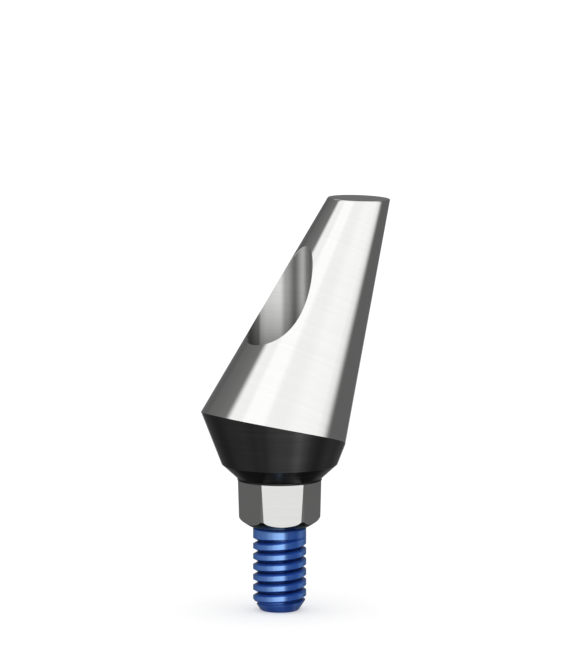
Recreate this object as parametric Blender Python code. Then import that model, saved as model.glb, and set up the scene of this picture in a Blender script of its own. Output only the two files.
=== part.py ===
"""Angled dental abutment with its fixing screw.

The abutment is one turned and milled metal piece: a hexagon that drops into an implant, a bevel, a
flared cuff and a conical post that leans by 25 degrees. A straight channel follows the implant's
axis, seats the screw's head inside the cuff and breaks out through the low flank of the post.
The origin is on the implant's axis at the cuff's lower rim, +Z runs up the implant's axis and the
post leans towards +X. Units are metres.
"""

import math

import bmesh
import bpy
from mathutils import Matrix

MM = 0.001
DEGREE = math.pi / 180

# Hexagonal connection, measured down from the cuff's lower rim
HEX_ACROSS_FLATS = 2.42 * MM
HEX_CORNER_RELIEF = 0.012 * MM
HEX_CORNER_TAPER = 1.2 * DEGREE
HEX_LENGTH = 1.52 * MM
HEX_END_CHAMFER_HEIGHT = 0.28 * MM
HEX_END_INSET = 0.19 * MM
NECK_DIAMETER = 2.86 * MM
NECK_LENGTH = 0.09 * MM
BEVEL_HEIGHT = 0.475 * MM

# Cuff
CUFF_RIM_DIAMETER = 3.88 * MM
CUFF_FLARE = 21.25 * DEGREE

# Post: a cone about an axis that crosses the implant's axis
POST_LEAN = 25 * DEGREE
POST_TAPER = 10.03 * DEGREE
POST_CROSSING_HEIGHT = 1.6 * MM
POST_CROSSING_DIAMETER = 4.73 * MM
POST_TOP_HEIGHT = 8.64 * MM
POST_TOP_LEAN = 3 * DEGREE
POST_MILLED_DEPTH = 1.3 * MM

# Screw channel
CHANNEL_DIAMETER = 2.2 * MM
SEAT_HEIGHT = 0.3 * MM
SEAT_ANGLE = 45 * DEGREE
SHANK_BORE_DIAMETER = 1.9 * MM
SHANK_BORE_CHAMFER = 0.03 * MM

# Screw
SCREW_SEAT_GAP = 0.03 * MM
HEAD_CLEARANCE = 0.05 * MM
THREAD_CLEARANCE = 0.06 * MM
HEAD_HEIGHT = 1.95 * MM
HEAD_EDGE_CHAMFER = 0.08 * MM
WAIST_DIAMETER = 1.4 * MM
COLLAR_HEIGHT = 0.36 * MM
SCREW_REACH = 2.87 * MM
TIP_CHAMFER_LENGTH = 0.39 * MM
TIP_CHAMFER_ANGLE = 33 * DEGREE

# Driver socket in the head
SOCKET_ACROSS_FLATS = 1.25 * MM
SOCKET_DEPTH = 1.15 * MM
SOCKET_DRILL_DIAMETER = 1.16 * MM
SOCKET_DRILL_POINT = 59 * DEGREE
SOCKET_MOUTH_DIAMETER = 1.64 * MM

# Right-handed thread, cut as one V groove that fades out below the hexagon
THREAD_PITCH = 0.35 * MM
GROOVE_DEPTH = 0.158 * MM
GROOVE_ROOT_WIDTH = 0.015 * MM
GROOVE_FLANK = 30 * DEGREE
GROOVE_FADE_TURNS = 0.75
GROOVE_END_BELOW_HEX = 0.305 * MM
GROOVE_END_STEPS = 43

# Facets round a full turn
BODY_SEGMENTS = 96
SCREW_SEGMENTS = 48

# How far a cutter runs past what it cuts
OVERRUN = 0.3 * MM
GROOVE_OVERRUN = 0.05 * MM
POST_OVERRUN = 1.2 * MM

MERGE_DISTANCE = 0.00005 * MM
SMOOTH_UP_TO = 25 * DEGREE

# Heights that follow from the sizes above
NECK_TOP = -BEVEL_HEIGHT
HEX_TOP = NECK_TOP - NECK_LENGTH
HEX_END = HEX_TOP - HEX_LENGTH
HEAD_TOP = SEAT_HEIGHT + HEAD_HEIGHT
SCREW_TIP = HEX_END - SCREW_REACH

CHANNEL_RADIUS = CHANNEL_DIAMETER / 2
SHANK_BORE_RADIUS = SHANK_BORE_DIAMETER / 2
HEAD_RADIUS = CHANNEL_RADIUS - HEAD_CLEARANCE
THREAD_RADIUS = SHANK_BORE_RADIUS - THREAD_CLEARANCE


def clear_scene():
    for thing in list(bpy.data.objects):
        bpy.data.objects.remove(thing, do_unlink=True)


def metal(name, colour, roughness):
    material = bpy.data.materials.new(name)
    material.use_nodes = True
    shader = material.node_tree.nodes["Principled BSDF"]
    shader.inputs["Base Color"].default_value = (*colour, 1.0)
    shader.inputs["Metallic"].default_value = 1.0
    shader.inputs["Roughness"].default_value = roughness
    return material


def mesh_object(name, shape):
    """An object made from a bmesh, with its faces turned outwards and round sides smooth."""
    bmesh.ops.recalc_face_normals(shape, faces=shape.faces)
    mesh = bpy.data.meshes.new(name)
    shape.to_mesh(mesh)
    shape.free()
    mesh.shade_smooth()
    mesh.set_sharp_from_angle(angle=SMOOTH_UP_TO)
    thing = bpy.data.objects.new(name, mesh)
    bpy.context.collection.objects.link(thing)
    return thing


def turned(name, profile, segments):
    """A solid turned about Z from (radius, height) points that start and end on the axis."""
    shape = bmesh.new()
    points = [shape.verts.new((radius, 0, height)) for radius, height in profile]
    outline = [shape.edges.new(pair) for pair in zip(points, points[1:])]
    bmesh.ops.spin(
        shape,
        geom=points + outline,
        cent=(0, 0, 0),
        axis=(0, 0, 1),
        angle=2 * math.pi,
        steps=segments,
        use_merge=True,
    )
    bmesh.ops.remove_doubles(shape, verts=shape.verts, dist=MERGE_DISTANCE)
    return mesh_object(name, shape)


def hexagon_ring(shape, across_flats, height):
    """Six points of a hexagon whose flats face +X and every 60 degrees from there."""
    radius = across_flats / 2 / math.cos(30 * DEGREE)
    angles = [(30 + 60 * corner) * DEGREE for corner in range(6)]
    return [
        shape.verts.new((radius * math.cos(angle), radius * math.sin(angle), height))
        for angle in angles
    ]


def hexagon_prism(name, across_flats, low, high):
    shape = bmesh.new()
    lower = shape.faces.new(hexagon_ring(shape, across_flats, low))
    raised = bmesh.ops.extrude_face_region(shape, geom=[lower])["geom"]
    upper = [item for item in raised if isinstance(item, bmesh.types.BMVert)]
    bmesh.ops.translate(shape, verts=upper, vec=(0, 0, high - low))
    return mesh_object(name, shape)


def hexagon_sleeve(name, across_flats, outer_across_flats, low, high):
    """A thick hexagonal tube, whose inside leaves a hexagon when it is cut away."""
    shape = bmesh.new()
    rings = [
        hexagon_ring(shape, across_flats, low),
        hexagon_ring(shape, outer_across_flats, low),
        hexagon_ring(shape, outer_across_flats, high),
        hexagon_ring(shape, across_flats, high),
    ]
    for ring, following in zip(rings, rings[1:] + rings[:1]):
        for corner in range(6):
            beside = (corner + 1) % 6
            shape.faces.new((ring[corner], ring[beside], following[beside], following[corner]))
    return mesh_object(name, shape)


def combine(target, tool, operation):
    """Puts a live Boolean on the target and hides its tool."""
    modifier = target.modifiers.new(tool.name, "BOOLEAN")
    modifier.operation = operation
    modifier.solver = "EXACT"
    modifier.object = tool
    tool.hide_render = True
    tool.display_type = "WIRE"


def abutment_blank():
    """The turned blank: hexagon corners, neck, bevel and the cuff's flare, taller than the post."""
    corner_radius = HEX_ACROSS_FLATS / 2 / math.cos(30 * DEGREE) - HEX_CORNER_RELIEF
    chamfer_top = HEX_END + HEX_END_CHAMFER_HEIGHT
    lower_corner_radius = corner_radius - (HEX_TOP - chamfer_top) * math.tan(HEX_CORNER_TAPER)
    blank_top = POST_TOP_HEIGHT + POST_OVERRUN
    rim_radius = CUFF_RIM_DIAMETER / 2
    profile = [
        (0, HEX_END),
        (HEX_ACROSS_FLATS / 2 - HEX_END_INSET, HEX_END),
        (lower_corner_radius, chamfer_top),
        (corner_radius, HEX_TOP),
        (NECK_DIAMETER / 2, HEX_TOP),
        (NECK_DIAMETER / 2, NECK_TOP),
        (rim_radius, 0),
        (rim_radius + blank_top * math.tan(CUFF_FLARE), blank_top),
        (0, blank_top),
    ]
    return turned("abutment_body", profile, BODY_SEGMENTS)


def post_envelope():
    """What milling the post leaves: the cone, and below the margin everything inside a wide step."""
    crossing_radius = POST_CROSSING_DIAMETER / 2
    reach_up = (POST_TOP_HEIGHT - POST_CROSSING_HEIGHT) / math.cos(POST_LEAN) + POST_OVERRUN
    reach_down = 2 * (POST_CROSSING_HEIGHT - HEX_END)
    step_radius = 2 * crossing_radius
    profile = [
        (0, -reach_down),
        (step_radius, -reach_down),
        (step_radius, -POST_MILLED_DEPTH),
        (crossing_radius + POST_MILLED_DEPTH * math.tan(POST_TAPER), -POST_MILLED_DEPTH),
        (crossing_radius - reach_up * math.tan(POST_TAPER), reach_up),
        (0, reach_up),
    ]
    envelope = turned("post_envelope", profile, BODY_SEGMENTS)
    envelope.location = (0, 0, POST_CROSSING_HEIGHT)
    envelope.rotation_euler = (0, POST_LEAN, 0)
    return envelope


def crown_cutter():
    """A block whose lower face is the post's top face."""
    side = 3 * POST_CROSSING_DIAMETER
    shape = bmesh.new()
    bmesh.ops.create_cube(shape, size=side, matrix=Matrix.Translation((0, 0, side / 2)))
    cutter = mesh_object("crown_cutter", shape)
    lean_offset = (POST_TOP_HEIGHT - POST_CROSSING_HEIGHT) * math.tan(POST_LEAN)
    cutter.location = (lean_offset, 0, POST_TOP_HEIGHT)
    cutter.rotation_euler = (0, POST_TOP_LEAN, 0)
    return cutter


def channel_cutter():
    """The stepped bore: shank bore, conical seat and the head's channel."""
    seat_rise = (CHANNEL_RADIUS - SHANK_BORE_RADIUS) * math.tan(SEAT_ANGLE)
    mouth_radius = SHANK_BORE_RADIUS + SHANK_BORE_CHAMFER + OVERRUN
    profile = [
        (0, HEX_END - OVERRUN),
        (mouth_radius, HEX_END - OVERRUN),
        (SHANK_BORE_RADIUS, HEX_END + SHANK_BORE_CHAMFER),
        (SHANK_BORE_RADIUS, SEAT_HEIGHT),
        (CHANNEL_RADIUS, SEAT_HEIGHT + seat_rise),
        (CHANNEL_RADIUS, POST_TOP_HEIGHT + 2 * POST_OVERRUN),
        (0, POST_TOP_HEIGHT + 2 * POST_OVERRUN),
    ]
    return turned("channel_cutter", profile, BODY_SEGMENTS)


def make_abutment():
    body = abutment_blank()
    flats = hexagon_sleeve(
        "flats_cutter",
        HEX_ACROSS_FLATS,
        HEX_ACROSS_FLATS + CUFF_RIM_DIAMETER,
        HEX_END - OVERRUN,
        HEX_TOP,
    )
    combine(body, post_envelope(), "INTERSECT")
    combine(body, crown_cutter(), "DIFFERENCE")
    combine(body, flats, "DIFFERENCE")
    combine(body, channel_cutter(), "DIFFERENCE")
    body.data.materials.append(metal("titanium", (0.82, 0.82, 0.81), 0.22))
    return body


def screw_blank():
    """Tip, thread blank, waist and head, with the head's cone running parallel to its seat."""
    waist_radius = WAIST_DIAMETER / 2
    tip_radius = THREAD_RADIUS - TIP_CHAMFER_LENGTH * math.tan(TIP_CHAMFER_ANGLE)
    collar_top = HEX_END + COLLAR_HEIGHT
    cone_at_waist = (
        SEAT_HEIGHT - (SHANK_BORE_RADIUS - waist_radius) * math.tan(SEAT_ANGLE) + SCREW_SEAT_GAP
    )
    cone_at_head = cone_at_waist + (HEAD_RADIUS - waist_radius) * math.tan(SEAT_ANGLE)
    profile = [
        (0, SCREW_TIP),
        (tip_radius, SCREW_TIP),
        (THREAD_RADIUS, SCREW_TIP + TIP_CHAMFER_LENGTH),
        (THREAD_RADIUS, collar_top),
        (waist_radius, collar_top + THREAD_RADIUS - waist_radius),
        (waist_radius, cone_at_waist),
        (HEAD_RADIUS, cone_at_head),
        (HEAD_RADIUS, HEAD_TOP - HEAD_EDGE_CHAMFER),
        (HEAD_RADIUS - HEAD_EDGE_CHAMFER, HEAD_TOP),
        (0, HEAD_TOP),
    ]
    return turned("abutment_screw", profile, SCREW_SEGMENTS)


def socket_drill():
    """The drilled pilot under the broached socket, with the countersunk mouth above it."""
    drill_radius = SOCKET_DRILL_DIAMETER / 2
    mouth_radius = SOCKET_MOUTH_DIAMETER / 2
    point_rise = drill_radius / math.tan(SOCKET_DRILL_POINT)
    socket_floor = HEAD_TOP - SOCKET_DEPTH
    profile = [
        (0, socket_floor - point_rise),
        (drill_radius, socket_floor),
        (drill_radius, HEAD_TOP - mouth_radius + drill_radius),
        (mouth_radius + OVERRUN, HEAD_TOP + OVERRUN),
        (0, HEAD_TOP + OVERRUN),
    ]
    return turned("socket_drill", profile, SCREW_SEGMENTS)


def groove_section(shape, angle, height, depth):
    """Four corners of the V groove's section, in the plane through the axis at this angle."""
    root_radius = THREAD_RADIUS - depth
    outer_radius = root_radius + GROOVE_DEPTH + GROOVE_OVERRUN
    root_half = GROOVE_ROOT_WIDTH / 2
    outer_half = root_half + (outer_radius - root_radius) * math.tan(GROOVE_FLANK)
    corners = [
        (root_radius, -root_half),
        (outer_radius, -outer_half),
        (outer_radius, outer_half),
        (root_radius, root_half),
    ]
    return [
        shape.verts.new((radius * math.cos(angle), radius * math.sin(angle), height + rise))
        for radius, rise in corners
    ]


def groove_cutter():
    """The thread's groove, swept down a right-handed helix from where it fades out to past the tip."""
    end_height = HEX_END - GROOVE_END_BELOW_HEX
    turns = (end_height - SCREW_TIP) / THREAD_PITCH + 1
    shape = bmesh.new()
    sections = []
    for step in range(math.ceil(turns * SCREW_SEGMENTS) + 1):
        turned_back = step / SCREW_SEGMENTS
        angle = 2 * math.pi * (GROOVE_END_STEPS / SCREW_SEGMENTS - turned_back)
        depth = GROOVE_DEPTH * min(1, turned_back / GROOVE_FADE_TURNS)
        height = end_height - THREAD_PITCH * turned_back
        sections.append(groove_section(shape, angle, height, depth))
    for section, following in zip(sections, sections[1:]):
        for side in range(4):
            beside = (side + 1) % 4
            shape.faces.new((section[side], section[beside], following[beside], following[side]))
    shape.faces.new(sections[0])
    shape.faces.new(sections[-1])
    bmesh.ops.triangulate(shape, faces=shape.faces)
    return mesh_object("groove_cutter", shape)


def make_screw():
    screw = screw_blank()
    socket = hexagon_prism(
        "socket_cutter", SOCKET_ACROSS_FLATS, HEAD_TOP - SOCKET_DEPTH, HEAD_TOP + OVERRUN
    )
    combine(screw, socket, "DIFFERENCE")
    combine(screw, socket_drill(), "DIFFERENCE")
    combine(screw, groove_cutter(), "DIFFERENCE")
    screw.data.materials.append(metal("blue_anodised_titanium", (0.035, 0.085, 0.42), 0.3))
    return screw


clear_scene()
make_abutment()
make_screw()
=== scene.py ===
import math

import bmesh
import bpy
from mathutils import Matrix, Vector


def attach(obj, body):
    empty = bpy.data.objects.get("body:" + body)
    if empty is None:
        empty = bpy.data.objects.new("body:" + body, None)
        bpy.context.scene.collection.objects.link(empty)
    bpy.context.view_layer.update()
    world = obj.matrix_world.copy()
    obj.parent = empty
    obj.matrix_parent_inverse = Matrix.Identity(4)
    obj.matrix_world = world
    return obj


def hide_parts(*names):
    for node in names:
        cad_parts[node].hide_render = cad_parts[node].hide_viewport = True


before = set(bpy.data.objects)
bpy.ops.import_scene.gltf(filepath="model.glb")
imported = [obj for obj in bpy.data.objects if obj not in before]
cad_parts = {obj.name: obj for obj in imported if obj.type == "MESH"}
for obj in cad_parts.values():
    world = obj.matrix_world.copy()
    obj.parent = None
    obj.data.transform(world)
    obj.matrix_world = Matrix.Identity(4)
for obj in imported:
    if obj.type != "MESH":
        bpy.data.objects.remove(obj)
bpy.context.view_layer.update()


# ---------------------------------------------------------------------------------------------
# Camera: a long lens a little above the part, at the photograph's angle. The bearing is that of
# the part's low, bored side, and the aim puts the implant's axis where the photograph has it.
MM = 0.001
BEARING = math.radians(34.5)
RISE = math.radians(8.55)
CAMERA_DISTANCE = 265.8 * MM
VIEW_HEIGHT = 21.56 * MM
AIM_HEIGHT = 5.98 * MM
AIM_RIGHT = 0.146 * MM
AIM_DOWN = 1.289 * MM
FILM_SIZE = 36

towards_camera = Vector(
    (-math.sin(BEARING) * math.cos(RISE), -math.cos(BEARING) * math.cos(RISE), math.sin(RISE))
)
camera_right = Vector((math.cos(BEARING), -math.sin(BEARING), 0))
camera_up = towards_camera.cross(camera_right)
aim = Vector((0, 0, AIM_HEIGHT)) + AIM_RIGHT * camera_right - AIM_DOWN * camera_up

camera = bpy.data.objects.new("camera", bpy.data.cameras.new("camera"))
camera.data.sensor_width = FILM_SIZE
camera.data.lens = FILM_SIZE * CAMERA_DISTANCE / VIEW_HEIGHT
camera.data.clip_start = 0.01
camera.data.clip_end = 10
camera.location = aim + CAMERA_DISTANCE * towards_camera
camera.rotation_mode = "QUATERNION"
camera.rotation_quaternion = towards_camera.to_track_quat("Z", "Y")
bpy.context.collection.objects.link(camera)
bpy.context.scene.camera = camera


# ---------------------------------------------------------------------------------------------
# The abutment: one piece of titanium, turned on a lathe and then milled. The turned cuff, bevel,
# neck and end are painted near-black, a painted dark reflection, and the milled post and hexagon
# are bare metal.
HEX_ACROSS_FLATS = 2.42 * MM
HEX_CORNER_RADIUS = HEX_ACROSS_FLATS / 2 / math.cos(math.radians(30))
HEX_CORNER_TAPER = math.tan(math.radians(1.6))
HEX_TOP = -0.535 * MM
HEX_CHAMFER_TOP = -1.805 * MM
HEX_END = -2.085 * MM
HEX_END_ROUNDING = [(1.02, 0), (1.1, 0.045), (1.21, 0.12), (1.28, 0.172), (1.326, 0.22)]
NECK_RADIUS = 1.415 * MM
NECK_TOP = -0.475 * MM
CUFF_RIM_RADIUS = 1.94 * MM
CUFF_FLARE = math.tan(math.radians(21.25))

POST_LEAN = math.radians(25)
POST_TAPER = math.tan(math.radians(10.03))
POST_CROSSING = 1.6 * MM
POST_RADIUS = 2.365 * MM
POST_TOP = 8.67 * MM
POST_TOP_LEAN = math.radians(3)
POST_RIM_ROUNDING = 0.03 * MM
POST_RIM_BORDER = 2 * POST_RIM_ROUNDING
POST_RING_DEPTH = 0.4 * MM
POST_MILLED_DEPTH = 1.3 * MM

CHANNEL_RADIUS = 1.1 * MM
BORE_RADIUS = 0.95 * MM
BORE_CHAMFER = 0.03 * MM
SEAT_HEIGHT = 0.3 * MM

OVERRUN = 0.3 * MM
BLANK_SPARE = 1.2 * MM
CUTTER_REACH = 8 * MM
SLEEVE_WALL = 2 * MM
ABUTMENT_STEPS = 360
CHANNEL_STEPS = 240
SHARP_ANGLE = math.radians(22)
MERGE_DISTANCE = 0.0001 * MM
CUT_MERGE_DISTANCE = 0.0004 * MM

# A cut matches finishes by slot number, so the abutment's cutters have all of its slots
FINISHES = 4
POST_METAL, PLAIN_METAL, PAINTED_DARK_METAL, BORED_METAL = range(FINISHES)


def turned(profile, steps):
    """A solid turned about Z from (radius, height) points that start and end on the axis."""
    shape = bmesh.new()
    points = [shape.verts.new((radius, 0, height)) for radius, height in profile]
    outline = [shape.edges.new(pair) for pair in zip(points, points[1:])]
    bmesh.ops.spin(
        shape,
        geom=points + outline,
        cent=(0, 0, 0),
        axis=(0, 0, 1),
        angle=math.tau,
        steps=steps,
        use_merge=True,
    )
    bmesh.ops.remove_doubles(shape, verts=shape.verts, dist=MERGE_DISTANCE)
    return shape


def raise_up(shape, height):
    """Extrudes a flat outline straight up."""
    raised = bmesh.ops.extrude_face_region(shape, geom=shape.faces[:])["geom"]
    upper = [item for item in raised if isinstance(item, bmesh.types.BMVert)]
    bmesh.ops.translate(shape, verts=upper, vec=(0, 0, height))


def hexagon(across_flats, height):
    """A flat hexagon whose sides face +X and every 60 degrees from there."""
    shape = bmesh.new()
    radius = across_flats / 2 / math.cos(math.radians(30))
    place = Matrix.Translation((0, 0, height))
    bmesh.ops.create_circle(shape, cap_ends=True, segments=6, radius=radius, matrix=place)
    return shape


def slice_across(shape, place, facing, clear_outer=False):
    """Cuts every face along a plane, and returns the points and edges of the cut."""
    return bmesh.ops.bisect_plane(
        shape,
        geom=shape.verts[:] + shape.edges[:] + shape.faces[:],
        plane_co=place,
        plane_no=facing,
        clear_outer=clear_outer,
    )["geom_cut"]


def finished(name, shape, finish=0, slots=1):
    """An object from a bmesh, with its faces turned outwards and given a finish by number."""
    bmesh.ops.recalc_face_normals(shape, faces=shape.faces)
    for face in shape.faces:
        face.material_index = finish(face) if callable(finish) else finish
    mesh = bpy.data.meshes.new(name)
    shape.to_mesh(mesh)
    shape.free()
    for slot in range(slots):
        mesh.materials.append(None)
    thing = bpy.data.objects.new(name, mesh)
    bpy.context.collection.objects.link(thing)
    return thing


def carve(piece, tool, operation="DIFFERENCE"):
    """Cuts the tool's shape from the piece, or keeps what they share, and takes the tool away."""
    cut = piece.modifiers.new("cut", "BOOLEAN")
    cut.operation = operation
    cut.solver = "EXACT"
    cut.object = tool
    before = piece.data
    evaluated = piece.evaluated_get(bpy.context.evaluated_depsgraph_get())
    piece.data = bpy.data.meshes.new_from_object(evaluated)
    piece.modifiers.clear()
    bpy.data.meshes.remove(before)
    bpy.data.objects.remove(tool)


def smooth(piece):
    """Rounds the shading of turned sides and keeps real edges and the edges of finishes sharp."""
    shape = bmesh.new()
    shape.from_mesh(piece.data)
    bmesh.ops.remove_doubles(shape, verts=shape.verts, dist=CUT_MERGE_DISTANCE)
    loose = [edge for edge in shape.edges if not edge.link_faces]
    bmesh.ops.delete(shape, geom=loose, context="EDGES")
    for face in shape.faces:
        face.smooth = True
    for edge in shape.edges:
        finishes = {face.material_index for face in edge.link_faces}
        edge.smooth = len(finishes) == 1 and edge.calc_face_angle(0) < SHARP_ANGLE
    shape.to_mesh(piece.data)
    shape.free()


def turned_painted_dark(face):
    """Painted dark reflection on the turned cuff, bevel, neck and end; the hexagon's turned
    corners are bare.
    """
    return PLAIN_METAL if HEX_CHAMFER_TOP < face.calc_center_median().z < HEX_TOP else PAINTED_DARK_METAL


blank_top = POST_TOP + BLANK_SPARE
corner_end = HEX_CORNER_RADIUS - (HEX_TOP - HEX_CHAMFER_TOP) * HEX_CORNER_TAPER
blank = turned(
    [
        (0, HEX_END),
        *[(radius * MM, HEX_END + rise * MM) for radius, rise in HEX_END_ROUNDING],
        (corner_end, HEX_CHAMFER_TOP),
        (HEX_CORNER_RADIUS, HEX_TOP),
        (NECK_RADIUS, HEX_TOP),
        (NECK_RADIUS, NECK_TOP),
        (CUFF_RIM_RADIUS, 0),
        (CUFF_RIM_RADIUS + blank_top * CUFF_FLARE, blank_top),
        (0, blank_top),
    ],
    ABUTMENT_STEPS,
)
abutment = finished("abutment", blank, turned_painted_dark, slots=FINISHES)

# The post's cone, with a step below the margin so that the mill leaves the cuff alone
reach = (POST_TOP - POST_CROSSING) / math.cos(POST_LEAN) + BLANK_SPARE
cone = turned(
    [
        (0, -CUTTER_REACH),
        (2 * POST_RADIUS, -CUTTER_REACH),
        (2 * POST_RADIUS, -POST_MILLED_DEPTH),
        (POST_RADIUS + POST_MILLED_DEPTH * POST_TAPER, -POST_MILLED_DEPTH),
        (POST_RADIUS - reach * POST_TAPER, reach),
        (0, reach),
    ],
    ABUTMENT_STEPS,
)
lean = Matrix.Translation((0, 0, POST_CROSSING)) @ Matrix.Rotation(POST_LEAN, 4, "Y")
bmesh.ops.transform(cone, matrix=lean, verts=cone.verts)
top_centre = Vector(((POST_TOP - POST_CROSSING) * math.tan(POST_LEAN), 0, POST_TOP))
top_normal = Vector((math.sin(POST_TOP_LEAN), 0, math.cos(POST_TOP_LEAN)))
sliced = slice_across(cone, top_centre, top_normal, clear_outer=True)
rim = [item for item in sliced if isinstance(item, bmesh.types.BMEdge)]
bmesh.ops.holes_fill(cone, edges=rim, sides=0)
bmesh.ops.bevel(
    cone,
    geom=rim,
    offset=POST_RIM_ROUNDING,
    affect="EDGES",
    segments=4,
    profile=0.5,
    material=-1,
)

# Rings of edges beside the rounded rim keep its smooth shading to itself
for depth in (POST_RIM_BORDER, POST_RING_DEPTH):
    slice_across(cone, top_centre - depth * top_normal, top_normal)
cap = max(cone.faces, key=lambda face: len(face.verts))
bmesh.ops.inset_individual(cone, faces=[cap], thickness=POST_RIM_BORDER, use_even_offset=True)
carve(abutment, finished("post_cone", cone, POST_METAL, slots=FINISHES), "INTERSECT")

# The hexagon's flats: everything outside them, up to the neck
sleeve = hexagon(HEX_ACROSS_FLATS + 2 * SLEEVE_WALL, HEX_END - OVERRUN)
bmesh.ops.inset_individual(
    sleeve, faces=sleeve.faces[:], thickness=SLEEVE_WALL, use_even_offset=True
)
inner = min(sleeve.faces, key=lambda face: face.calc_center_median().xy.length)
bmesh.ops.delete(sleeve, geom=[inner], context="FACES_ONLY")
raise_up(sleeve, HEX_TOP - HEX_END + OVERRUN)
# The flats' cut leaves the shoulder under the neck painted near-black too, as a painted dark
# reflection
flats = finished(
    "flats_cutter",
    sleeve,
    lambda face: PAINTED_DARK_METAL if face.normal.z > 0.5 else PLAIN_METAL,
    slots=FINISHES,
)
carve(abutment, flats)

# The screw's channel, with its conical seat and the narrower bore through the hexagon
channel_top = POST_TOP + 2 * BLANK_SPARE
channel = turned(
    [
        (0, HEX_END - OVERRUN),
        (BORE_RADIUS + BORE_CHAMFER + OVERRUN, HEX_END - OVERRUN),
        (BORE_RADIUS, HEX_END + BORE_CHAMFER),
        (BORE_RADIUS, SEAT_HEIGHT),
        (CHANNEL_RADIUS, SEAT_HEIGHT + CHANNEL_RADIUS - BORE_RADIUS),
        (CHANNEL_RADIUS, channel_top),
        (0, channel_top),
    ],
    CHANNEL_STEPS,
)
carve(abutment, finished("channel_cutter", channel, BORED_METAL, slots=FINISHES))
smooth(abutment)

LINE_STRETCH = (0.02, 0.02, 1)
CLOUDS_PER_METRE = 620
GRAINS_PER_METRE = 26000


def tool_marks_group():
    """Fine lines that the tool leaves round the Position's Z axis, with soft clouds and grain."""
    group = bpy.data.node_groups.new("tool_marks", "ShaderNodeTree")
    for name, kind in (
        ("Position", "NodeSocketVector"),
        ("Lines per Metre", "NodeSocketFloat"),
        ("Light Colour", "NodeSocketColor"),
        ("Dark Colour", "NodeSocketColor"),
        ("Low Roughness", "NodeSocketFloat"),
        ("High Roughness", "NodeSocketFloat"),
    ):
        group.interface.new_socket(name, in_out="INPUT", socket_type=kind)
    for name, kind in (
        ("Colour", "NodeSocketColor"),
        ("Roughness", "NodeSocketFloat"),
        ("Height", "NodeSocketFloat"),
    ):
        group.interface.new_socket(name, in_out="OUTPUT", socket_type=kind)
    nodes, links = group.nodes, group.links
    given = nodes.new("NodeGroupInput").outputs
    result = nodes.new("NodeGroupOutput").inputs

    def noise(position, scale, detail):
        node = nodes.new("ShaderNodeTexNoise")
        node.inputs["Detail"].default_value = detail
        links.new(position, node.inputs["Vector"])
        if isinstance(scale, bpy.types.NodeSocket):
            links.new(scale, node.inputs["Scale"])
        else:
            node.inputs["Scale"].default_value = scale
        return node.outputs["Fac"]

    def weighed(value, weight, other):
        node = nodes.new("ShaderNodeMath")
        node.operation = "MULTIPLY_ADD"
        links.new(value, node.inputs[0])
        node.inputs[1].default_value = weight
        links.new(other, node.inputs[2])
        return node.outputs[0]

    rings = nodes.new("ShaderNodeVectorMath")
    rings.operation = "MULTIPLY"
    rings.inputs[1].default_value = LINE_STRETCH
    links.new(given["Position"], rings.inputs[0])
    lines = noise(rings.outputs[0], given["Lines per Metre"], 3)
    clouds = noise(given["Position"], CLOUDS_PER_METRE, 3)
    grain = noise(given["Position"], GRAINS_PER_METRE, 1)
    marks = nodes.new("ShaderNodeMapRange")
    marks.inputs["From Min"].default_value = 0.62
    marks.inputs["From Max"].default_value = 1.13
    links.new(weighed(grain, 0.25, weighed(clouds, 0.5, lines)), marks.inputs["Value"])
    tone = nodes.new("ShaderNodeMix")
    tone.data_type = "RGBA"
    links.new(marks.outputs["Result"], tone.inputs["Factor"])
    links.new(given["Dark Colour"], tone.inputs[6])
    links.new(given["Light Colour"], tone.inputs[7])
    links.new(tone.outputs[2], result["Colour"])
    gloss = nodes.new("ShaderNodeMapRange")
    links.new(marks.outputs["Result"], gloss.inputs["Value"])
    links.new(given["High Roughness"], gloss.inputs["To Min"])
    links.new(given["Low Roughness"], gloss.inputs["To Max"])
    links.new(gloss.outputs["Result"], result["Roughness"])
    links.new(weighed(grain, 0.2, lines), result["Height"])
    return group


tool_marks = tool_marks_group()


def metal(name, light, dark, roughness, lines_per_mm, depth, stretch=0, axis=(0, 0, 1)):
    """A turned or milled metal: light and dark shades, the roughness range, and its tool marks.

    Stretch draws the reflections out across the tool's lines, which run round the axis."""
    material = bpy.data.materials.new(name)
    material.use_nodes = True
    nodes, links = material.node_tree.nodes, material.node_tree.links
    shader = nodes["Principled BSDF"]
    shader.inputs["Metallic"].default_value = 1
    upright = nodes.new("ShaderNodeMapping")
    upright.inputs["Rotation"].default_value = (0, -math.atan2(axis[0], axis[2]), 0)
    links.new(nodes.new("ShaderNodeTexCoord").outputs["Object"], upright.inputs["Vector"])
    marks = nodes.new("ShaderNodeGroup")
    marks.node_tree = tool_marks
    marks.inputs["Lines per Metre"].default_value = lines_per_mm / MM
    marks.inputs["Light Colour"].default_value = (*light, 1)
    marks.inputs["Dark Colour"].default_value = (*dark, 1)
    marks.inputs["Low Roughness"].default_value = roughness[0]
    marks.inputs["High Roughness"].default_value = roughness[1]
    links.new(upright.outputs["Vector"], marks.inputs["Position"])
    links.new(marks.outputs["Colour"], shader.inputs["Base Color"])
    links.new(marks.outputs["Roughness"], shader.inputs["Roughness"])
    relief = nodes.new("ShaderNodeBump")
    relief.inputs["Strength"].default_value = 1
    relief.inputs["Distance"].default_value = depth
    links.new(marks.outputs["Height"], relief.inputs["Height"])
    links.new(relief.outputs["Normal"], shader.inputs["Normal"])
    if stretch:
        shader.inputs["Anisotropic"].default_value = stretch
        across = nodes.new("ShaderNodeCombineXYZ")
        for socket, value in zip(across.inputs, axis):
            socket.default_value = value
        links.new(across.outputs["Vector"], shader.inputs["Tangent"])
    return material


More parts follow.
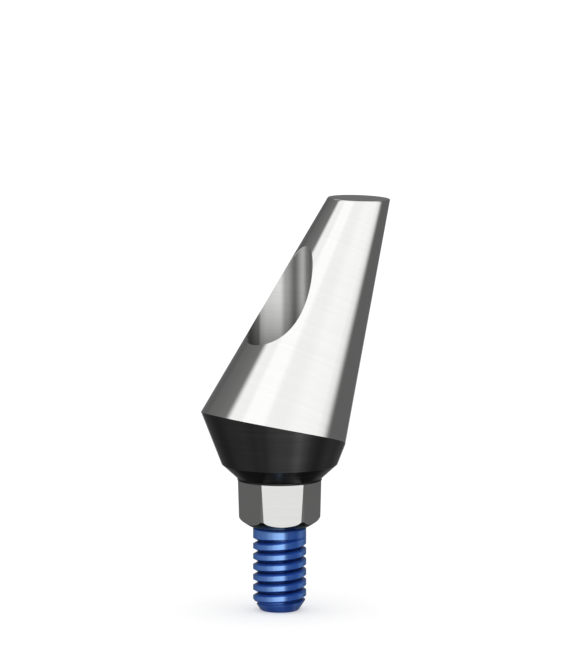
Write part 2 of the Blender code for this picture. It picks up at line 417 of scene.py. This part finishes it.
abutment.data.materials[POST_METAL] = metal(
    "polished_titanium",
    light=(0.915, 0.915, 0.905),
    dark=(0.885, 0.885, 0.875),
    roughness=(0.08, 0.12),
    lines_per_mm=9,
    depth=0.0001 * MM,
    axis=(math.sin(POST_LEAN), 0, math.cos(POST_LEAN)),
)
abutment.data.materials[PLAIN_METAL] = metal(
    "milled_titanium",
    light=(0.915, 0.915, 0.905),
    dark=(0.875, 0.875, 0.865),
    roughness=(0.1, 0.15),
    lines_per_mm=14,
    depth=0.0001 * MM,
)
# Near-black colour painted on the turned faces: a painted reflection of the dark ground
abutment.data.materials[PAINTED_DARK_METAL] = metal(
    "painted_dark_reflection",
    light=(0.066, 0.066, 0.068),
    dark=(0.054, 0.054, 0.056),
    roughness=(0.18, 0.26),
    lines_per_mm=12,
    depth=0.0002 * MM,
    stretch=0.7,
)
abutment.data.materials[BORED_METAL] = metal(
    "bored_titanium",
    light=(0.81, 0.81, 0.8),
    dark=(0.75, 0.75, 0.74),
    roughness=(0.26, 0.34),
    lines_per_mm=16,
    depth=0.0002 * MM,
    stretch=0.6,
)
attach(abutment, "abutment")
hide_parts("abutment_body")


# ---------------------------------------------------------------------------------------------
# The fixing screw: titanium turned to size, with a single-point cut thread that fades out below
# its collar and a broached hexagon socket, then anodised blue all over.
THREAD_RADIUS = 0.89 * MM
WAIST_RADIUS = 0.7 * MM
HEAD_RADIUS = 1.05 * MM
HEAD_TOP = 2.25 * MM
HEAD_EDGE = 0.08 * MM
SEAT_GAP = 0.03 * MM
COLLAR_TOP = HEX_END + 0.36 * MM
SCREW_TIP = -4.955 * MM
TIP_CHAMFER = 0.39 * MM
TIP_SLOPE = math.tan(math.radians(33))
TIP_EDGE = 0.03 * MM
SCREW_STEPS = 192

SOCKET_ACROSS_FLATS = 1.25 * MM
SOCKET_FLOOR = HEAD_TOP - 1.15 * MM
SOCKET_MOUTH_RADIUS = 0.82 * MM
DRILL_RADIUS = 0.58 * MM
DRILL_POINT = math.tan(math.radians(59))
DRILL_STEPS = 96

PITCH = 0.35 * MM
GROOVE_DEPTH = 0.158 * MM
GROOVE_ROOT_WIDTH = 0.015 * MM
GROOVE_FLANK = math.tan(math.radians(30))
GROOVE_OVERRUN = 0.05 * MM
GROOVE_END = HEX_END - 0.355 * MM
GROOVE_END_ANGLE = math.tau * 43 / 48
FADE_TURNS = 0.3
STEPS_PER_TURN = 96
CREST_DEPTH = 0.01 * MM
# Painted shade colour for the thread's root and the collar under the hexagon
ROOT_SHADE_COLOUR = (0.004, 0.012, 0.11, 1)

waist_top = SEAT_HEIGHT - (BORE_RADIUS - WAIST_RADIUS) + SEAT_GAP
screw_blank = turned(
    [
        (0, SCREW_TIP),
        (THREAD_RADIUS - TIP_CHAMFER * TIP_SLOPE - TIP_EDGE, SCREW_TIP),
        (THREAD_RADIUS - (TIP_CHAMFER - TIP_EDGE) * TIP_SLOPE, SCREW_TIP + TIP_EDGE),
        (THREAD_RADIUS, SCREW_TIP + TIP_CHAMFER),
        (THREAD_RADIUS, COLLAR_TOP),
        (WAIST_RADIUS, COLLAR_TOP + THREAD_RADIUS - WAIST_RADIUS),
        (WAIST_RADIUS, waist_top),
        (HEAD_RADIUS, waist_top + HEAD_RADIUS - WAIST_RADIUS),
        (HEAD_RADIUS, HEAD_TOP - HEAD_EDGE),
        (HEAD_RADIUS - HEAD_EDGE, HEAD_TOP),
        (0, HEAD_TOP),
    ],
    SCREW_STEPS,
)
screw = finished("fixing_screw", screw_blank)
socket = hexagon(SOCKET_ACROSS_FLATS, SOCKET_FLOOR)
raise_up(socket, HEAD_TOP + OVERRUN - SOCKET_FLOOR)
carve(screw, finished("socket_cutter", socket))
drill = turned(
    [
        (0, SOCKET_FLOOR - DRILL_RADIUS / DRILL_POINT),
        (DRILL_RADIUS, SOCKET_FLOOR),
        (DRILL_RADIUS, HEAD_TOP - SOCKET_MOUTH_RADIUS + DRILL_RADIUS),
        (SOCKET_MOUTH_RADIUS + OVERRUN, HEAD_TOP + OVERRUN),
        (0, HEAD_TOP + OVERRUN),
    ],
    DRILL_STEPS,
)
carve(screw, finished("drill_cutter", drill))

# The thread's groove: its section is swept down a right-handed helix, shallow where it starts
groove = bmesh.new()
root_half = GROOVE_ROOT_WIDTH / 2
outer_half = root_half + (GROOVE_DEPTH + GROOVE_OVERRUN) * GROOVE_FLANK
section = [
    (THREAD_RADIUS - GROOVE_DEPTH, -root_half),
    (THREAD_RADIUS + GROOVE_OVERRUN, -outer_half),
    (THREAD_RADIUS + GROOVE_OVERRUN, outer_half),
    (THREAD_RADIUS - GROOVE_DEPTH, root_half),
]
turn_to_end = Matrix.Rotation(GROOVE_END_ANGLE, 3, "Z")
corners = [
    groove.verts.new(turn_to_end @ Vector((radius, 0, GROOVE_END + rise)))
    for radius, rise in section
]
groove.faces.new(corners)
turns = (GROOVE_END - SCREW_TIP) / PITCH + 1
steps = math.ceil(turns * STEPS_PER_TURN)
bmesh.ops.spin(
    groove,
    geom=groove.verts[:] + groove.edges[:] + groove.faces[:],
    cent=(0, 0, 0),
    axis=(0, 0, 1),
    dvec=(0, 0, -PITCH / STEPS_PER_TURN),
    angle=-math.tau * steps / STEPS_PER_TURN,
    steps=steps,
)
bmesh.ops.remove_doubles(groove, verts=groove.verts, dist=MERGE_DISTANCE)
for vert in groove.verts:
    radius = math.hypot(vert.co.x, vert.co.y)
    phase = (GROOVE_END_ANGLE - math.atan2(vert.co.y, vert.co.x)) / math.tau
    turned_back = phase + round((GROOVE_END - vert.co.z) / PITCH - phase)
    lift = GROOVE_DEPTH * (1 - min(1, max(0, turned_back) / FADE_TURNS))
    vert.co.x *= (radius + lift) / radius
    vert.co.y *= (radius + lift) / radius
bmesh.ops.triangulate(groove, faces=groove.faces)
carve(screw, finished("groove_cutter", groove))
smooth(screw)

# The oxide is a clear coat over blue metal. The thread's root and the collar under the hexagon are
# painted darker as painted shade, and lose the coat there.
anodised = metal(
    "blue_anodised_titanium",
    light=(0.02, 0.14, 0.67),
    dark=(0.016, 0.11, 0.58),
    roughness=(0.2, 0.28),
    lines_per_mm=15,
    depth=0.0002 * MM,
)
nodes, links = anodised.node_tree.nodes, anodised.node_tree.links
blue = nodes["Principled BSDF"]
blue.inputs["Metallic"].default_value = 0.41
blue.inputs["Coat IOR"].default_value = 2.4
blue.inputs["Coat Roughness"].default_value = 0.2


def calculate(operation, *values):
    """A Math node on numbers or other nodes' outputs."""
    node = nodes.new("ShaderNodeMath")
    node.operation = operation
    for socket, value in zip(node.inputs, values):
        if isinstance(value, bpy.types.NodeSocket):
            links.new(value, socket)
        else:
            socket.default_value = value
    return node.outputs[0]


def share_between(value, low, high):
    """0 where a value is at the low number, 1 at the high one, in proportion between."""
    node = nodes.new("ShaderNodeMapRange")
    node.inputs["From Min"].default_value = low
    node.inputs["From Max"].default_value = high
    links.new(value, node.inputs["Value"])
    return node.outputs["Result"]


def greys(position, stops, interpolation="LINEAR"):
    """A grey level by a position from 0 to 1, from (position, level) stops."""
    node = nodes.new("ShaderNodeValToRGB")
    node.color_ramp.interpolation = interpolation
    ramp = node.color_ramp.elements
    ramp[0].position, ramp[1].position = stops[0][0], stops[-1][0]
    for stop, level in stops[1:-1]:
        ramp.new(stop)
    for element, (stop, level) in zip(ramp, stops):
        element.color = (level, level, level, 1)
    links.new(position, node.inputs["Fac"])
    return node.outputs["Color"]


def by_height(stops):
    """A grey level by height, from (millimetres, level) stops."""
    return greys(share_up, [(1 - height * MM / SCREW_TIP, level) for height, level in stops])


place = nodes.new("ShaderNodeTexCoord").outputs["Object"]
across = nodes.new("ShaderNodeVectorMath")
across.operation = "MULTIPLY"
across.inputs[1].default_value = (1, 1, 0)
links.new(place, across.inputs[0])
distance = nodes.new("ShaderNodeVectorMath")
distance.operation = "LENGTH"
links.new(across.outputs["Vector"], distance.inputs[0])
height = nodes.new("ShaderNodeSeparateXYZ")
links.new(place, height.inputs[0])
share_up = share_between(height.outputs["Z"], SCREW_TIP, 0)
crest = share_between(
    distance.outputs["Value"], THREAD_RADIUS - GROOVE_DEPTH, THREAD_RADIUS - CREST_DEPTH
)

# Painted shade: only the thread's groove is darkened, not the chamfered tip, and the collar is
# darkened up under the hexagon
least = by_height([(-4.65, 0.75), (-4.55, 0), (-1.6, 0), (-1.2, 1)])
most = by_height([(-2.2, 1), (-2.13, 0), (-1.6, 0), (-1.2, 1)])
shade = calculate("MINIMUM", calculate("MAXIMUM", crest, least), most)
links.new(shade, blue.inputs["Coat Weight"])
# Mixes the painted shade colour into the blue where the shade mask is low
root_shading = nodes.new("ShaderNodeMix")
root_shading.data_type = "RGBA"
root_shading.inputs[6].default_value = ROOT_SHADE_COLOUR
links.new(shade, root_shading.inputs["Factor"])
links.new(blue.inputs["Base Color"].links[0].from_socket, root_shading.inputs[7])
links.new(root_shading.outputs[2], blue.inputs["Base Color"])
screw.data.materials[0] = anodised
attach(screw, "screw")
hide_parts("abutment_screw")


# ---------------------------------------------------------------------------------------------
# Studio: a white paper floor under the screw's tip in an even white room. The floor gives back a
# little more light to what looks at it, so that it is as white as the room.
FLOOR_LEVEL = SCREW_TIP - 0.005 * MM
FLOOR_RADIUS = 4
FLOOR_LIFT = 0.3


def bare_material(name, thing):
    """Gives a thing of the studio an empty material, and returns its nodes and links."""
    material = bpy.data.materials.new(name)
    material.use_nodes = True
    material.node_tree.nodes.clear()
    thing.data.materials[0] = material
    return material.node_tree.nodes, material.node_tree.links


floor_shape = bmesh.new()
bmesh.ops.create_circle(
    floor_shape,
    cap_ends=True,
    segments=64,
    radius=FLOOR_RADIUS,
    matrix=Matrix.Translation((0, 0, FLOOR_LEVEL)),
)
floor = finished("floor", floor_shape)
floor.visible_glossy = False

nodes, links = bare_material("white_paper", floor)
matt = nodes.new("ShaderNodeBsdfDiffuse")
matt.inputs["Color"].default_value = (0.8, 0.8, 0.8, 1)
rays = nodes.new("ShaderNodeLightPath").outputs
seen = calculate("MAXIMUM", rays["Is Camera Ray"], rays["Is Glossy Ray"])
seen = calculate("MAXIMUM", seen, rays["Is Transmission Ray"])
lift = nodes.new("ShaderNodeEmission")
links.new(calculate("MULTIPLY", seen, FLOOR_LIFT), lift.inputs["Strength"])
both = nodes.new("ShaderNodeAddShader")
links.new(matt.outputs[0], both.inputs[0])
links.new(lift.outputs[0], both.inputs[1])
links.new(both.outputs[0], nodes.new("ShaderNodeOutputMaterial").inputs["Surface"])


# ---------------------------------------------------------------------------------------------
# Light tent: a cloth ball round the part that only reflections see, with white panels at the
# front, a grey rear and a dark ground, all soft edged. Its bearings run from the bored side.
TENT_RADIUS = 150 * MM
CEILING_LEVEL = 0.95
REAR_GROUND_LEVEL = 0.045
GROUND_LEVEL = 0.05


def for_reflections(thing):
    """Hides a thing from all but reflections."""
    thing.visible_camera = False
    thing.visible_diffuse = False
    thing.visible_shadow = False
    thing.visible_transmission = False


def along(position, direction):
    """How far a position lies along a direction."""
    node = nodes.new("ShaderNodeVectorMath")
    node.operation = "DOT_PRODUCT"
    links.new(position, node.inputs[0])
    node.inputs[1].default_value = direction
    return node.outputs["Value"]


def bearing_of(position):
    """The bearing of a position as 0 to 1, from behind the part round by its left side."""
    front = (-math.sin(BEARING), -math.cos(BEARING), 0)
    turn = calculate("ARCTAN2", along(position, camera_right), along(position, front))
    return calculate("ADD", calculate("DIVIDE", turn, math.tau), 0.5)


def panels(bearing, stops):
    """Soft grey levels all round, from (bearing in degrees, level) stops."""
    return greys(bearing, [(turn / 360 + 0.5, level) for turn, level in stops], "EASE")


def rise_between(value, low, high, unit=math.radians(1)):
    """0 at a low elevation in degrees or height in another unit, 1 at a high one, soft between."""
    node = nodes.new("ShaderNodeMapRange")
    node.interpolation_type = "SMOOTHSTEP"
    node.inputs["From Min"].default_value = low * unit
    node.inputs["From Max"].default_value = high * unit
    links.new(value, node.inputs["Value"])
    return node.outputs["Result"]


def mixed(share, low, high):
    """From the low grey or number to the high one, by a share from 0 to 1."""
    node = nodes.new("ShaderNodeMix")
    node.data_type = "RGBA"
    links.new(share, node.inputs["Factor"])
    for socket, value in ((node.inputs[6], low), (node.inputs[7], high)):
        if isinstance(value, bpy.types.NodeSocket):
            links.new(value, socket)
        else:
            socket.default_value = (value, value, value, 1)
    return node.outputs[2]


tent_shape = bmesh.new()
bmesh.ops.create_icosphere(tent_shape, subdivisions=5, radius=TENT_RADIUS)
tent = finished("light_tent", tent_shape)
tent.data.shade_smooth()
for_reflections(tent)

nodes, links = bare_material("tent_panels", tent)
place = nodes.new("ShaderNodeTexCoord").outputs["Object"]
bearing = bearing_of(place)
elevation = calculate("ARCSINE", calculate("DIVIDE", along(place, (0, 0, 1)), TENT_RADIUS))
walls = panels(
    bearing,
    [
        (-180, 0.16), (-145, 0.11), (-130, 0.14), (-96, 0.17), (-80, 0.98), (-60, 0.96),
        (-48, 1.11), (-14, 1.11), (0, 0.96), (20, 0.96), (45, 1.02), (72, 1.0), (82, 0.9),
        (101, 0.12), (150, 0.1), (180, 0.16),
    ],
)
skirt = panels(
    bearing,
    [
        (-180, 0.9), (-170, 0.7), (-160, 0.12), (-100, 0.12), (-56, 0.13), (-35, 0.22),
        (-17, 0.42), (-2, 0.82), (22, 0.84), (40, 0.3), (65, 0.14), (100, 0.12), (160, 0.12),
        (170, 0.7), (180, 0.9),
    ],
)
ground = panels(
    bearing,
    [
        (-180, 0.15), (-123, 0.14), (-93, 0.32), (-70, 0.42), (-43, 0.38), (-31, 0.34),
        (-18, 0.56), (0, 0.68), (20, 0.7), (42, 1.2), (54, 0.9), (67, 0.4), (85, 0.2),
        (107, 0.33), (130, 0.2), (180, 0.15),
    ],
)
roof = panels(
    bearing,
    [
        (-180, 0.3), (-167, 0.35), (-158, 0.9), (-140, 0.9), (-126, 0.2), (-96, 0.17),
        (-80, 0.98), (-60, 0.96), (-48, 1.08), (-14, 1.08), (0, 0.97), (80, 1), (95, 0.4),
        (108, 0.4), (122, 0.95), (152, 0.9), (165, 0.35), (180, 0.3),
    ],
)
behind = panels(bearing, [(-180, 1), (-138, 1), (-126, 0), (126, 0), (138, 1), (180, 1)])
beside = panels(bearing, [(-180, 1), (-60, 1), (-46, 0), (46, 0), (60, 1), (180, 1)])
light = mixed(rise_between(elevation, -22, -14), ground, skirt)
light = mixed(rise_between(elevation, -8, 0), light, walls)
light = mixed(rise_between(elevation, 38, 50), light, roof)
light = mixed(rise_between(elevation, 58, 70), light, CEILING_LEVEL)
for part_round, low, high, level in (
    (behind, -44, -30, REAR_GROUND_LEVEL),
    (beside, -53, -47, GROUND_LEVEL),
):
    below = calculate("SUBTRACT", 1, rise_between(elevation, low, high))
    light = mixed(calculate("MULTIPLY", part_round, below), light, level)
light = mixed(rise_between(elevation, -72, -52), GROUND_LEVEL, light)
glow = nodes.new("ShaderNodeEmission")
links.new(light, glow.inputs["Color"])
links.new(glow.outputs[0], nodes.new("ShaderNodeOutputMaterial").inputs["Surface"])


# ---------------------------------------------------------------------------------------------
# Reflection cards: two thin silks that only reflections see. One is curved round the front of
# the screw and glows on its inner side, and one lines the channel just off its wall.
CARD_RADIUS = 1 * MM
CARD_TOP = -2.1 * MM
CARD_FOOT = -5.3 * MM
CARD_SWEEP = math.radians(210)
CARD_STEPS = 70
CARD_TINT = (0.72, 1, 0.86, 1)
CARD_FADE = (-2.2, -2.25)
LINING_SCALE = 0.965
LINING_FADE = (2.6, 5.9)
LINING_DARKEST = 0.04
WALL_TOLERANCE = 0.001 * MM

card_shape = bmesh.new()
card_start = Matrix.Rotation(-BEARING - CARD_SWEEP / 2, 3, "Z") @ Vector((0, -CARD_RADIUS, 0))
card_edge = [card_shape.verts.new((*card_start.xy, end)) for end in (CARD_TOP, CARD_FOOT)]
card_side = card_shape.edges.new(card_edge)
bmesh.ops.spin(
    card_shape,
    geom=card_edge + [card_side],
    cent=(0, 0, 0),
    axis=(0, 0, 1),
    angle=CARD_SWEEP,
    steps=CARD_STEPS,
)
card = finished("reflection_card", card_shape)
first_face = card.data.polygons[0]
if first_face.normal.dot(first_face.center) > 0:
    card.data.flip_normals()
for_reflections(card)

nodes, links = bare_material("card_silk", card)
place = nodes.new("ShaderNodeTexCoord").outputs["Object"]
light = panels(
    bearing_of(place),
    [
        (-180, 0.1), (-80, 0.14), (-53, 0.28), (-37, 0.4), (-22, 0.9), (-10, 1.65), (2, 2.02),
        (9, 1.95), (15, 0.5), (21, 0.1), (42, 0.04), (60, 0.3), (80, 0.15), (180, 0.1),
    ],
)
tinted = nodes.new("ShaderNodeMix")
tinted.data_type = "RGBA"
tinted.blend_type = "MULTIPLY"
tinted.inputs["Factor"].default_value = 1
tinted.inputs[7].default_value = CARD_TINT
links.new(light, tinted.inputs[6])
glow = nodes.new("ShaderNodeEmission")
links.new(tinted.outputs[2], glow.inputs["Color"])
links.new(rise_between(along(place, (0, 0, 1)), *CARD_FADE, MM), glow.inputs["Strength"])
one_sided = nodes.new("ShaderNodeMixShader")
links.new(nodes.new("ShaderNodeNewGeometry").outputs["Backfacing"], one_sided.inputs["Fac"])
links.new(glow.outputs[0], one_sided.inputs[1])
links.new(nodes.new("ShaderNodeBsdfTransparent").outputs[0], one_sided.inputs[2])
links.new(one_sided.outputs[0], nodes.new("ShaderNodeOutputMaterial").inputs["Surface"])

lining_shape = bmesh.new()
lining_shape.from_mesh(abutment.data)
others = [
    face
    for face in lining_shape.faces
    if face.material_index != BORED_METAL
    or min(math.hypot(vert.co.x, vert.co.y) for vert in face.verts)
    < CHANNEL_RADIUS - WALL_TOLERANCE
]
bmesh.ops.delete(lining_shape, geom=others, context="FACES")
bmesh.ops.scale(lining_shape, verts=lining_shape.verts, vec=(LINING_SCALE, LINING_SCALE, 1))
lining = finished("channel_card", lining_shape)
for_reflections(lining)

nodes, links = bare_material("banded_silk", lining)
place = nodes.new("ShaderNodeTexCoord").outputs["Object"]
light = panels(
    bearing_of(place),
    [
        (-180, 0.87), (-158, 0.8), (-149, 0.65), (-141, 0.2), (-120, 0.08), (-70, 0.5), (0, 0.3),
        (70, 0.5), (115, 0.1), (126, 0.2), (138, 0.5), (154, 0.16), (169, 0.42), (180, 0.87),
    ],
)
fade = calculate(
    "MULTIPLY", rise_between(along(place, (0, 0, 1)), *LINING_FADE, MM), 1 - LINING_DARKEST
)
glow = nodes.new("ShaderNodeEmission")
links.new(light, glow.inputs["Color"])
links.new(calculate("ADD", fade, LINING_DARKEST), glow.inputs["Strength"])
links.new(glow.outputs[0], nodes.new("ShaderNodeOutputMaterial").inputs["Surface"])


# ---------------------------------------------------------------------------------------------
# Room: even white light from all round, shown as written, without a film look.
world = bpy.data.worlds.new("studio")
bpy.context.scene.world = world
world.use_nodes = True
world.node_tree.nodes["Background"].inputs["Color"].default_value = (1, 1, 1, 1)
world.node_tree.nodes["Background"].inputs["Strength"].default_value = 1

bpy.context.scene.view_settings.view_transform = "Standard"
